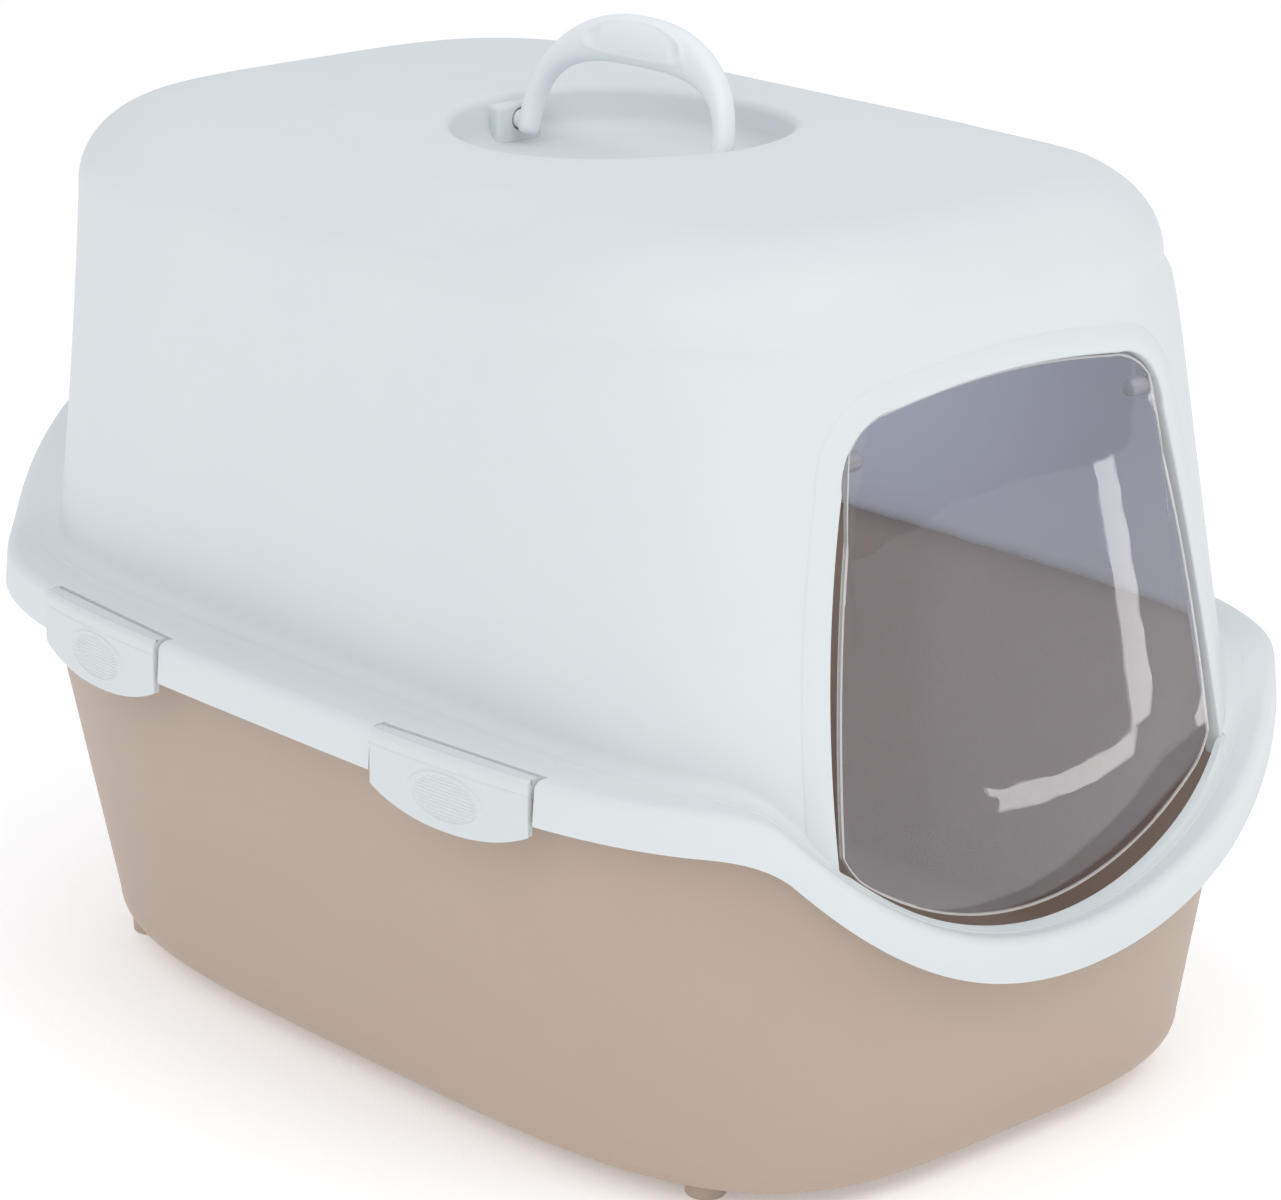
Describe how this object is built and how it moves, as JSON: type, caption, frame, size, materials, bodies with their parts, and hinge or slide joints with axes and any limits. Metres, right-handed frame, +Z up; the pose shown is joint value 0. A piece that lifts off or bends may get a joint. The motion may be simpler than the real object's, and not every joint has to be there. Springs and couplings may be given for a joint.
{
  "type": "hooded cat litter box",
  "caption": "Covered litter tray with a lift-off hood, a clear swing door, a folding carrying handle and side clips.",
  "frame": {"origin": "on the floor under the middle of the rim", "axes": "X across the width, Y along the length with the doorway facing -Y, Z up"},
  "size_m": [0.4016, 0.56, 0.4384],
  "materials": {
    "tray_plastic": "beige moulded polypropylene, satin",
    "hood_plastic": "white moulded polypropylene, satin",
    "door_plastic": "clear moulded polystyrene sheet",
    "handle_plastic": "white moulded polypropylene, satin",
    "clip_plastic": "white moulded polypropylene, satin"
  },
  "bodies": {
    "tray": {"tray": "tray_plastic"},
    "hood": {"hood": "hood_plastic"},
    "door": {"door": "door_plastic"},
    "handle": {"handle": "handle_plastic"},
    "clip_front_left": {"clip_front_left": "clip_plastic"},
    "clip_front_right": {"clip_front_right": "clip_plastic"},
    "clip_rear_left": {"clip_rear_left": "clip_plastic"},
    "clip_rear_right": {"clip_rear_right": "clip_plastic"}
  },
  "joints": [
    {"name": "hood_lift", "type": "slide", "parent": "tray", "child": "hood", "axis": [0, 0, 1], "range_m": [0, 0.2]},
    {"name": "door_swing", "type": "hinge", "parent": "hood", "child": "door", "pos_m": [0, -0.22047, 0.308], "axis": [1, 0, 0], "range_deg": [-75, 75]},
    {"name": "handle_fold", "type": "hinge", "parent": "hood", "child": "handle", "pos_m": [0, -0.002, 0.386], "axis": [0, 1, 0], "range_deg": [-106, 74]},
    {"name": "clip_front_left_swing", "type": "hinge", "parent": "hood", "child": "clip_front_left", "pos_m": [-0.19181, -0.11555, 0.184], "axis": [-0.0744, 0.9972, 0], "range_deg": [0, 90]},
    {"name": "clip_front_right_swing", "type": "hinge", "parent": "hood", "child": "clip_front_right", "pos_m": [0.19181, -0.11555, 0.184], "axis": [-0.0744, -0.9972, 0], "range_deg": [0, 90]},
    {"name": "clip_rear_left_swing", "type": "hinge", "parent": "hood", "child": "clip_rear_left", "pos_m": [-0.19144, 0.11552, 0.184], "axis": [0.0813, 0.9967, 0], "range_deg": [0, 90]},
    {"name": "clip_rear_right_swing", "type": "hinge", "parent": "hood", "child": "clip_rear_right", "pos_m": [0.19144, 0.11552, 0.184], "axis": [0.0813, -0.9967, 0], "range_deg": [0, 90]}
  ]
}
